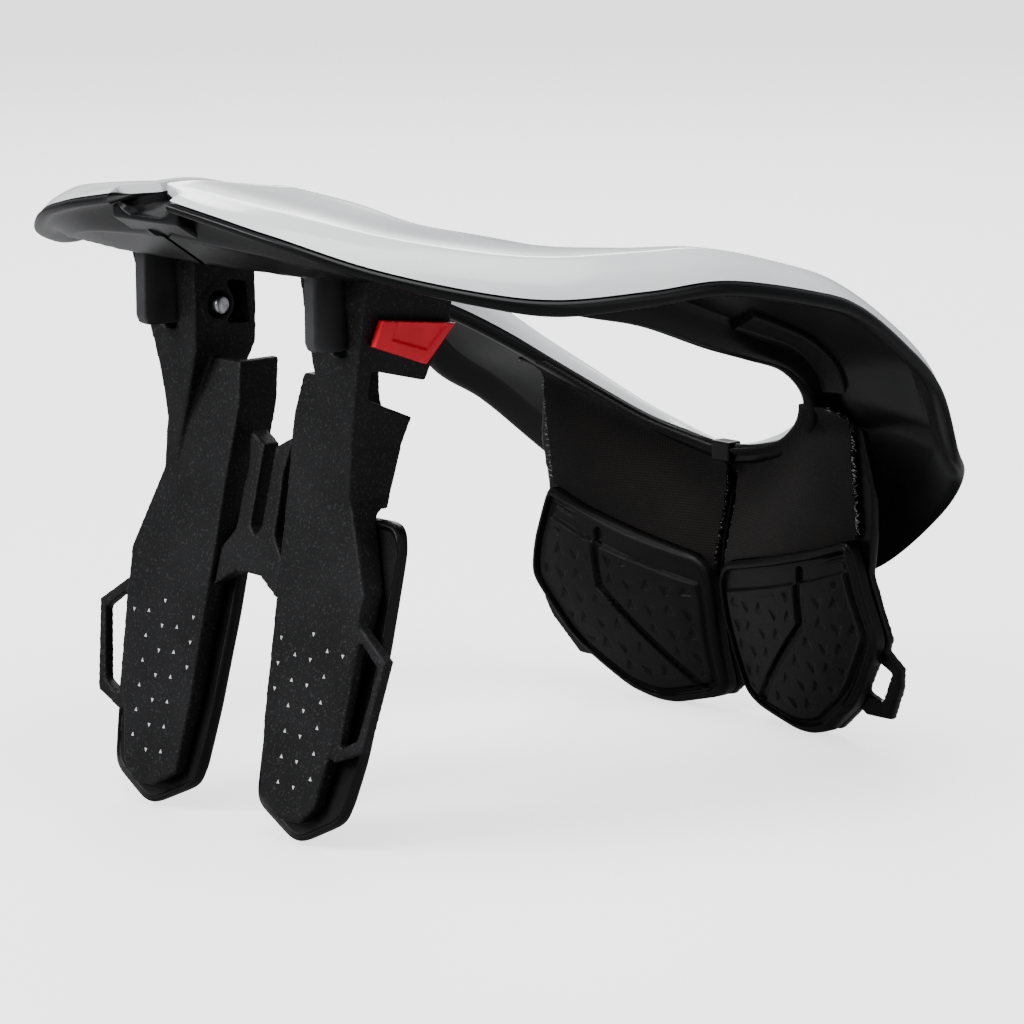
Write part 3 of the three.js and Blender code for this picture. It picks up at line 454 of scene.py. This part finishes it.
def soften(line, passes):
    """Open lines with their inner points pulled to the middle of their neighbours."""
    line = line.copy()
    for _ in range(passes):
        line[:, 1:-1] = line[:, 1:-1] * 0.5 + (line[:, :-2] + line[:, 2:]) * 0.25
    return line


class Collar:
    """Sections of the collar at given positions: their rims, axes and heights."""

    def __init__(self, positions):
        rows = through(COLLAR_ROWS, positions)
        outer = rows[:, :3] * [HALF_WIDTH, REAR_REACH, COLLAR_HEIGHT]
        self.inner = rows[:, 3:6] * [NECK_HALF_WIDTH, NECK_REACH, COLLAR_HEIGHT]
        outer[:, 0] = np.maximum(outer[:, 0], SEAM)
        self.inner[:, 0] = np.maximum(self.inner[:, 0], SEAM)
        self.across = outer - self.inner
        self.width = np.linalg.norm(self.across, axis=1)
        self.across /= self.width[:, None]
        along = np.stack([self.across[:, 1], -self.across[:, 0], 0 * self.width], -1)
        along /= np.linalg.norm(along, axis=1, keepdims=True)
        self.up = np.cross(along, self.across)
        self.up *= np.sign(self.up[:, 2:3])
        self.crease, self.middle, self.crest = (rows[:, k] * CROWN for k in (6, 7, 8))
        self.rim, self.lip = rows[:, 9] * RIM_DEPTH, rows[:, 10] * LIP_DEPTH
        self.closed = np.clip(rows[:, 11], 0, 1)

    def outer_line(self, samples=14):
        """The shell's outer line: a skirt up to the crease, then a smooth top down to the rim."""
        w, zero = self.width, 0 * self.width
        skirt = [(w, zero), (w - CREASE_START * BAND_INSET, self.crease * 0.5), (w - BAND_INSET, self.crease)]
        top = [(w - BAND_INSET, self.crease),
               (w * 0.68, mix(self.crease, self.middle, 0.7) + 0.4), (w * 0.42, self.middle),
               (w * 0.2, mix(self.crest, self.middle, 0.5)), (zero + CREST_INSET, self.crest),
               (zero + CREST_INSET * 0.25, self.crest * 0.62), (zero, zero)]
        low, high = (np.stack([np.stack(pair, -1) for pair in part], 1) for part in (skirt, top))
        low = through(low, np.linspace(0, 2, samples), 1)
        high = through(high, np.linspace(0, 6, samples * 5), 1)
        return soften(np.concatenate([low, high[:, 1:]], 1), 2)

    def place(self, line):
        """Puts lines (n, k, 2) of distance and height into space, and opens the rear notch."""
        points = (self.inner[:, None] + line[..., :1] * self.across[:, None]
                  + line[..., 1:] * self.up[:, None])
        share = (BAND_INSET - REAR_REACH - points[..., 1]) / (BAND_INSET * (1 - CREASE_START))
        fade = 1 - points[..., 0] / (COLLAR_ROWS[1, 0] * HALF_WIDTH)
        points[..., 0] += (NOTCH_WIDTH / 2 - SEAM) * np.clip(share, 0, 1) * np.clip(fade, 0, 1)
        return points

    def floor(self, distance):
        """The height, in the section, of the rear underside: a flat seat and a slope."""
        y = self.inner[:, 1:2] + distance * self.across[:, 1:2]
        rise = np.clip((SLOPE_FOOT_Y - y) / (REAR_REACH + SLOPE_FOOT_Y), 0, 1)
        level = SEAT_Z + SLOPE_HEIGHT * rise
        return (level - self.inner[:, 2:3] - distance * self.across[:, 2:3]) / self.up[:, 2:3]


def collar_positions(step=11):
    return np.linspace(0, len(COLLAR_ROWS) - 1, (len(COLLAR_ROWS) - 1) * step + 1)


def white_shells():
    """The shell: its outer line, and the same line moved in by the wall."""
    collar = Collar(collar_positions())
    outer = collar.outer_line()
    inner = inset(outer, SHELL_WALL)
    inner[..., 1] = np.maximum(inner[..., 1], 0.1)
    for side, sign in SIDES.items():
        piece = walled(f"white_shell_{side}", collar.place(outer), collar.place(inner), side=sign)
        dress(piece, "shell", stands_for=[f"shell_{side}"])


def under_line(collar):
    """The chassis below: rolled rim, hollow underside or closed seat, and inner lip."""
    w, edge = collar.width, UNDER_GAP
    under = even(inset(collar.outer_line(), SHELL_WALL + FIT + CHASSIS_WALL), 30)[:, 3:-3]
    seat = collar.floor(under[..., 0])
    lowered = mix(under[..., 1], np.minimum(seat, under[..., 1]), collar.closed[:, None])
    under = np.stack([under[..., 0], lowered], -1)
    rim = [(w + 0.3, -edge + 0 * w), (w + 1.2, -edge - 0.3 * collar.rim),
           (w + 0.8, -edge - 0.85 * collar.rim), (w - 1.2, -edge - collar.rim),
           (w - RIM_THICKNESS, -edge - 0.7 * collar.rim)]
    lip = [(RIM_THICKNESS + 0 * w, -edge - 0.8 * collar.lip), (1.2 + 0 * w, -edge - collar.lip),
           (-0.8 + 0 * w, -edge - 0.85 * collar.lip), (-1.2 + 0 * w, -edge - 0.3 * collar.lip),
           (-0.3 + 0 * w, -edge + 0 * w)]
    rim, lip = (np.stack([np.stack(pair, -1) for pair in part], 1) for part in (rim, lip))
    control = np.concatenate([rim, under, lip], 1)
    return through(control, np.linspace(0, control.shape[1] - 1, 120), 1)


def black_chassis():
    """The chassis: the shell's line moved in, closed by the line below."""
    collar = Collar(collar_positions())
    edge = UNDER_GAP
    top = even(inset(collar.outer_line(), SHELL_WALL + FIT), 120)
    top[..., 1] = np.maximum(top[..., 1], -edge)
    for side, sign in SIDES.items():
        piece = walled(f"black_chassis_{side}", collar.place(top), collar.place(under_line(collar)),
                       side=sign, sharp=50.0)
        dress(piece, "chassis", stands_for=[f"chassis_{side}"])


def chest_top(x):
    return CHEST_TOP + CHEST_TOP_RISE * (np.abs(x) / CHEST_WIDTH) ** 1.5


def chest_skin(x, z):
    """The y of the chest pads' skin: bowed across, leaning forward to the foot, lip above."""
    across = np.clip(np.abs(x) / CHEST_BOW_WIDTH, 0, 1)
    top = CHEST_PAD_TOP + CHEST_PAD_RISE * np.abs(x) / CHEST_WIDTH
    below = np.maximum(CHEST_PAD_TOP - z, 0)
    pad = CHEST_MIDDLE_Y - CHEST_BOW * (1 - (1 - across) ** 2) + CHEST_LEAN * below + CHEST_SWEEP * below ** 2
    bend = np.clip((np.abs(x) - 10) / CHEST_BOW_WIDTH, 0, 1)
    lip = CHEST_LIP_Y - CHEST_LIP_BOW * bend ** 2 * (3 - 2 * bend)
    share = np.clip((z - top) / (chest_top(x) - top), 0, 1)
    return mix(pad, lip, share)


def rounded(outline, radius, count=480):
    """A closed outline read at even steps, its corners rounded by a moving average."""
    corners = np.asarray(outline, float)
    ends = np.roll(corners, -1, 0)
    length = np.concatenate([[0], np.cumsum(np.linalg.norm(ends - corners, axis=1))])
    want = np.linspace(0, length[-1], count, endpoint=False)
    ring = np.concatenate([corners, corners[:1]])
    line = np.stack([np.interp(want, length, ring[:, k]) for k in (0, 1)], -1)
    reach = max(1, int(round(radius * count / length[-1])))
    window = range(-reach, reach + 1)
    for _ in range(2):
        line = sum(np.roll(line, k, 0) for k in window) / len(window)
    return line


def spokes(outline, centre, rings):
    """A grid of rings from a centre out to an outline, and each point's distance to the outline."""
    share = np.sin(np.linspace(0, math.pi / 2, rings))[:, None, None]
    grid = centre + share * (outline - centre)
    reach = np.linalg.norm(outline - centre, axis=1)
    return grid, (1 - share[..., 0]) * reach


def fewer_rings(grid, step):
    """Every step-th ring of a grid of spokes, and its last one."""
    last = len(grid) - 1
    return grid[list(range(0, last, step)) + [last]]


def bulge(distance, radius):
    """A quarter round from 0 at the edge to 1 at the radius."""
    return np.sqrt(1 - (1 - np.clip(distance / radius, 0, 1)) ** 2)


def distance_to(line, x, z, closed=False):
    """The distance of points to a broken line, both in millimetres."""
    line = np.asarray(line, float)
    ends = np.roll(line, -1, 0) if closed else line[1:]
    best = np.full(x.shape, 1e9)
    for (ax, az), (bx, bz) in zip(line, ends):
        dx, dz = bx - ax, bz - az
        share = np.clip(((x - ax) * dx + (z - az) * dz) / (dx * dx + dz * dz + 1e-9), 0, 1)
        best = np.minimum(best, np.hypot(x - ax - share * dx, z - az - share * dz))
    return best


def ease(value, low, high):
    """A smooth step from 0 at low to 1 at high."""
    share = np.clip((value - low) / (high - low), 0, 1)
    return share * share * (3 - 2 * share)


def pocket_grid(x, z, pitch, inner):
    """Triangles on a square grid, pointing up and down by turns: 1 in each, 0 between them."""
    column, row = np.floor(x / pitch), np.floor(z / pitch)
    u, v = x - (column + 0.5) * pitch, z - (row + 0.5) * pitch
    v = v * np.where((column + row) % 2 == 0, 1, -1)
    side = np.maximum(np.abs(u) * 0.866 + v * 0.5, -v) - inner
    return (1 - ease(side, -0.45, 0.35)) * (0.8 + 0.2 * np.clip(v, -1, 1))


def chest_pads():
    """Chest pads: spokes over the outline on the skin's surface, pressed in a band inside the rim,
    along the groove and in a grid of triangles."""
    scale = [CHEST_WIDTH, CHEST_PAD_TOP]
    outline = rounded(np.array(CHEST_PAD_OUTLINE) * scale, 2.2, 492)
    grid, edge = spokes(outline, CHEST_PAD_CENTRE, 96)
    x, z = grid[..., 0], grid[..., 1]
    skin = chest_skin(x, z)
    rim = distance_to(outline[::6], x, z, True)
    groove = distance_to(np.array(CHEST_GROOVE) * scale, x, z)
    top_x, top_z = (np.array(CHEST_PAD_OUTLINE[:5]) * scale).T
    inside = np.minimum(rim, np.interp(x, top_x, top_z) - z - TOP_BAND)
    band = ease(rim, 2.2, 2.9) * (1 - ease(inside, 4.2, 5.4))
    panel = ease(inside, 4.2, 5.4) * ease(groove, 1.0, 1.9)
    room = ease(inside, 6.8, 7.8) * ease(groove, 2.8, 3.8)
    ribs = RIB_DEPTH * np.sin(rim * 2.9) * ease(x, 54, 62) * (1 - ease(rim, 5.4, 6.2))
    pressed = (BAND_DEPTH * band + PANEL_DEPTH * panel
               + GROOVE_DEPTH * (1 - ease(groove, 1.0, 1.9)) * ease(rim, 3.0, 4.0)
               + POCKET_DEPTH * room * pocket_grid(x, z, POCKET_PITCH, POCKET_SIZE)
               - PANEL_CROWN * panel * ease(rim, 5.0, 18.0) + ribs)
    rounding = CHEST_PAD_EDGE * (1 - bulge(edge, CHEST_PAD_EDGE))
    front = np.stack([x, skin + rounding + np.maximum(pressed, 0), z], -1)
    back = np.stack([x, skin + CHEST_PAD_DEPTH - 0.8 * (1 - bulge(edge, CHEST_PAD_BACK_EDGE)), z], -1)
    back = fewer_rings(back, 12)
    for side, sign in SIDES.items():
        piece = walled(f"moulded_chest_pad_{side}", front, back, ring=True, side=sign)
        dress(piece, "pad", stands_for=[f"chest_pad_{side}"])


def lining_grid():
    """The lining's front: the chest skin from the pad's top up to the chest's lip, puffed a little
    in the middle and led over the collar's inner lip, with uneven cut edges."""
    u, v = np.meshgrid(np.linspace(0, 1, 84), np.linspace(0, 1, 64), indexing="ij")
    low_x, low_z = (np.interp(u, LINING_FOOT[:, 0], LINING_FOOT[:, column]) for column in (1, 2))
    high_x = mix(LINING_INNER_X, CHEST_WIDTH, u)
    x, z = mix(low_x, high_x, v), mix(low_z, chest_top(high_x) - 0.3, v)
    ragged = 0.25 * np.sin(v * 61.0) + 0.18 * np.sin(v * 143.0 + 1.0)
    x = x - ragged * (u - 0.5) * 2 * ease(np.abs(u - 0.5), 0.42, 0.5)
    puffed = LINING_PUFF * np.sin(math.pi * u) * np.sin(math.pi * v)
    y = chest_skin(x, z) + CHEST_PAD_DEPTH - LINING_WALL + LINING_PROUD - puffed
    rim = Collar(np.linspace(11, 16, 60)).inner[::-1]
    over_y, over_z = (np.interp(x, rim[:, 0], rim[:, k]) for k in (1, 2))
    share = ease(v, 0.76, 0.94)
    return np.stack([x, mix(y, over_y - LINING_LAP, share),
                     mix(z, over_z - LINING_DROP, ease(v, 0.6, 1.0))], -1)


def fray(front, rng):
    """Loose threads along the two cut sides: short curled tubes, as one closed mesh."""
    points, faces = [], []
    turns = np.linspace(0, 2 * math.pi, 5)[:-1]
    ring = np.stack([0 * turns, np.cos(turns), np.sin(turns)], -1) * THREAD_RADIUS
    for column, way in ((0, -1.0), (-1, 1.0)):
        for start in front[column, 3:-3]:
            for _ in range(2 if way > 0 else 1):
                length = rng.uniform(0.5, 1.1 if way < 0 else 2.4)
                bend, lift = rng.uniform(-0.7, 0.7), rng.uniform(-0.35, 0.2)
                share = np.linspace(0, 1, 5)[:, None]
                path = (start + rng.uniform(-0.3, 0.3) * np.array([0, 0, 1]) + [-0.5 * way, 0.4, 0]
                        + share * length * np.array([way, 0, 0])
                        + share ** 2 * length * np.array([0, lift, bend]))
                tube = path[:, None] + ring * (1 - 0.5 * share[:, None])
                base = len(points) * 20
                points.append(tube.reshape(-1, 3))
                faces.extend(grid_faces(5, 4, base, True).tolist())
                faces.append([base, base + 1, base + 2, base + 3])
                faces.append([base + 19, base + 18, base + 17, base + 16])
    return np.concatenate(points), faces


def chest_linings():
    """Woven linings, each cut to the front grid's own size, with their loose threads."""
    front = lining_grid()
    back = front + [0, LINING_SHOWN, 0]
    uv = np.concatenate([front[..., [0, 2]].reshape(-1, 2)] * 2)
    rng = np.random.default_rng(5)
    for side, sign in SIDES.items():
        piece = walled(f"woven_lining_{side}", front, back, side=sign, uv=uv)
        dress(piece, "woven", stands_for=[f"chest_lining_{side}"])
        threads = dress(mesh_piece(f"loose_threads_{side}", *fray(front, rng), side=sign),
                        "thread")


def wing_pads():
    """Wing pads: spokes over the outline, on a leaning plane, with a rolled rim behind."""
    outline = rounded(np.array(WING_PAD_OUTLINE) * [WING_HALF_WIDTH, WING_PAD_HEIGHT]
                      + [WING_MIDDLE, 0], 3.0, 400)
    grid, edge = spokes(outline, WING_PAD_CENTRE, 60)
    x, z = grid[..., 0], grid[..., 1]
    plane = PAD_FOOT_Y + PAD_LEAN * z
    rolled = 0.8 * np.sin(math.pi * np.clip(edge / 2.2, 0, 1))
    back = np.stack([x, plane + 1.4 * (1 - bulge(edge, 1.4)) - rolled, z], -1)
    front = np.stack([x, plane + WING_PAD_THICKNESS - 2.0 * (1 - bulge(edge, 2.0)), z], -1)
    front = fewer_rings(front, 8)
    for side, sign in SIDES.items():
        piece = walled(f"soft_wing_pad_{side}", back, front, ring=True, side=sign)
        dress(piece, "pad", stands_for=[f"wing_pad_{side}"])


def shoulder_strips():
    """The raised strip under each shoulder: a rounded band with a plain sunk field."""
    collar = Collar(np.linspace(STRIP_START, STRIP_END, 90))
    under = inset(collar.outer_line(), SHELL_WALL + FIT + CHASSIS_WALL)
    place = np.linspace(0, 1, 30)
    across = STRIP_INSET + STRIP_WIDTH * place
    level = np.stack([np.interp(across, line[::-1, 0], line[::-1, 1]) for line in under])
    ends = np.minimum(np.arange(90), np.arange(90)[::-1])[:, None] * 1.1
    edge = np.minimum(ends, STRIP_WIDTH * np.minimum(place, 1 - place)[None])
    rise = STRIP_RISE * bulge(edge, 1.2) - 0.5 * ease(edge, 1.6, 2.2)
    lines = [np.stack([np.broadcast_to(across, level.shape), level + lift], -1)
             for lift in (-rise, 0 * rise + 1.0)]
    for side, sign in SIDES.items():
        piece = walled(f"shoulder_strip_{side}", *(collar.place(line) for line in lines), side=sign)
        dress(piece, "pad")


def wing_marks():
    """Small pale triangles over the lower half of each wing's face, turned up and down by turns."""
    points, faces = [], []
    for column in range(-2, 3):
        for row in range(8):
            x = WING_MIDDLE + MARK_PITCH_X * column
            z = 10.0 + MARK_PITCH_Z * row + 1.5 * column + 1.9 * (column % 2)
            reach = np.interp(z, WING_REACH[:, 0], WING_REACH[:, 1]) * WING_HALF_WIDTH - 3.5
            if not (-reach - 2.0 < x - WING_MIDDLE < reach) or not MARK_FOOT <= z <= MARK_HEAD:
                continue
            way = 1 if column % 2 else -1
            corners = np.array([[-0.62, -0.4 * way], [0.62, -0.4 * way], [0, 0.75 * way]])
            base = len(points) * 6
            flat = np.stack([x + corners[:, 0], WING_FOOT_Y + WING_LEAN * (z + corners[:, 1]),
                             z + corners[:, 1]], -1)
            points.append(np.concatenate([flat - [0, 0.1, 0], flat + [0, 0.3, 0]]))
            faces += [[base, base + 1, base + 2], [base + 5, base + 4, base + 3]]
            faces += [[base + k, base + 3 + k, base + 3 + (k + 1) % 3, base + (k + 1) % 3] for k in range(3)]
    for side, sign in SIDES.items():
        piece = mesh_piece(f"wing_marks_{side}", np.concatenate(points), faces, side=sign)
        dress(piece, "print")


def moulded(node, voxel, passes, look, body="brace", kept=1.0):
    """A merged copy of a CAD node, remeshed and smoothed so that its edges are moulded round."""
    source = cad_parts[node]
    mesh = source.data.copy()
    work = bmesh.new()
    work.from_mesh(mesh)
    bmesh.ops.remove_doubles(work, verts=work.verts, dist=1e-6)
    work.to_mesh(mesh)
    work.free()
    piece = bpy.data.objects.new(f"moulded_{node}", mesh)
    bpy.context.scene.collection.objects.link(piece)
    remesh = piece.modifiers.new("even", "REMESH")
    remesh.mode, remesh.voxel_size = "VOXEL", voxel
    smooth = piece.modifiers.new("soft", "SMOOTH")
    smooth.factor, smooth.iterations = 0.5, passes
    if kept < 1:
        piece.modifiers.new("fewer", "DECIMATE").ratio = kept
    shown = piece.evaluated_get(bpy.context.evaluated_depsgraph_get())
    piece.data = bpy.data.meshes.new_from_object(shown)
    piece.modifiers.clear()
    tidy_mesh(piece.data, 60.0)
    return dress(piece, look, body, [node])


def turned_pins():
    """Release pins: a turned rod along X on the CAD pin's axis, both ends rounded."""
    turns = np.linspace(0, 2 * math.pi, PIN_SIDES, endpoint=False)
    inset, share = np.array([0, 0, 0.12, 0.36, 0.8]), np.array([0, 0.62, 0.82, 0.95, 1])
    for side in SIDES:
        corners = np.array([vertex.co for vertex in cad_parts[f"release_pin_{side}"].data.vertices])
        low, high = corners.min(0) * 1000, corners.max(0) * 1000
        middle, radius = (low + high) / 2 - [0, MIDDLE_Y, 0], (high - low)[1:].max() / 2
        along = np.concatenate([low[0] + inset, high[0] - inset[::-1]])
        reach = radius * np.concatenate([share, share[::-1]])[:, None]
        rod = np.stack([along[:, None] + 0 * turns, middle[1] + reach * np.cos(turns),
                        middle[2] + reach * np.sin(turns)], -1)
        faces = grid_faces(len(along), PIN_SIDES, ring=True).tolist()
        dress(mesh_piece(f"turned_pin_{side}", rod.reshape(-1, 3), faces), "steel",
              f"release_{side}", [f"release_pin_{side}"])


def moulded_pieces():
    """The hard pieces whose CAD shape is right get moulded edges."""
    for side in SIDES:
        moulded(f"wing_{side}", 0.00048, 10, "grained", kept=0.25)
        moulded(f"chest_plate_{side}", 0.0006, 8, "chassis", kept=0.36)
        moulded(f"wing_tongue_{side}", 0.0005, 4, "tongue")
        moulded(f"release_tab_{side}", 0.0004, 3, "red", f"release_{side}")
    moulded("wing_link", 0.0005, 8, "grained", kept=0.6)
    moulded("rear_saddle", 0.0004, 8, "chassis", kept=0.5)
    moulded("front_clasp", 0.0004, 4, "chassis")
    for number in (1, 2, 3, 4):
        moulded(f"saddle_screw_{number}", 0.0002, 1, "tongue")


def studio():
    """Pale floor, soft lights and the camera at the photograph's angle."""
    bpy.ops.mesh.primitive_plane_add(size=8)
    floor = bpy.context.object
    floor.name = "floor"
    pale = Finish("pale_floor", Roughness=0.85)
    cloud = pale.noise(3.0, 3.0)
    seen_directly = pale.node("LightPath")
    paper = pale.blend(cloud, tint(0.86, 0.86, 0.865), tint(0.9, 0.9, 0.905))
    pale.colour(pale.blend(seen_directly, tint(0.34, 0.34, 0.345), paper))
    pale.feed(pale.shader.inputs["Emission Color"], pale.blend(seen_directly, tint(0, 0, 0), tint(1, 1, 1)))
    pale.shader.inputs["Emission Strength"].default_value = 1.7
    floor.data.materials.append(pale.material)
    world = bpy.data.worlds.new("studio")
    bpy.context.scene.world = world
    world.use_nodes = True
    backdrop = world.node_tree.nodes["Background"]
    backdrop.inputs["Color"].default_value = (0.93, 0.95, 1.0, 1)
    seen = world.node_tree.nodes.new("ShaderNodeLightPath")
    level = world.node_tree.nodes.new("ShaderNodeMapRange")
    level.inputs[3].default_value, level.inputs[4].default_value = 0.34, 3.2
    world.node_tree.links.new(seen.outputs["Is Camera Ray"], level.inputs[0])
    world.node_tree.links.new(level.outputs[0], backdrop.inputs["Strength"])
    middle = Vector((0, 0, 0.1))
    lights = [("key", (-0.5, -1.5, 1.1), 34, 0.8), ("fill", (1.7, 0.1, 0.7), 4, 1.1),
              ("rim", (-1.1, 1.0, 1.1), 16, 0.8), ("top", (0.3, -0.2, 1.7), 30, 1.2)]
    for name, place, power, size in lights:
        light = bpy.data.lights.new(name, "AREA")
        light.energy, light.size = power, size
        lamp = bpy.data.objects.new(name, light)
        lamp.location = place
        lamp.rotation_euler = (middle - Vector(place)).to_track_quat("-Z", "Y").to_euler()
        bpy.context.scene.collection.objects.link(lamp)
    eye, target = Vector(CAMERA_PLACE), Vector(CAMERA_TARGET)
    camera = bpy.data.cameras.new("camera")
    camera.lens, camera.sensor_width, camera.clip_end = 199.0, 36.0, 20.0
    holder = bpy.data.objects.new("camera", camera)
    turn = (target - eye).to_track_quat("-Z", "Y") @ Quaternion((0, 0, 1), math.radians(CAMERA_ROLL))
    holder.rotation_euler = turn.to_euler()
    holder.location = eye
    bpy.context.scene.collection.objects.link(holder)
    bpy.context.scene.camera = holder


studio()
white_shells()
black_chassis()
chest_pads()
chest_linings()
wing_pads()
shoulder_strips()
wing_marks()
turned_pins()
moulded_pieces()
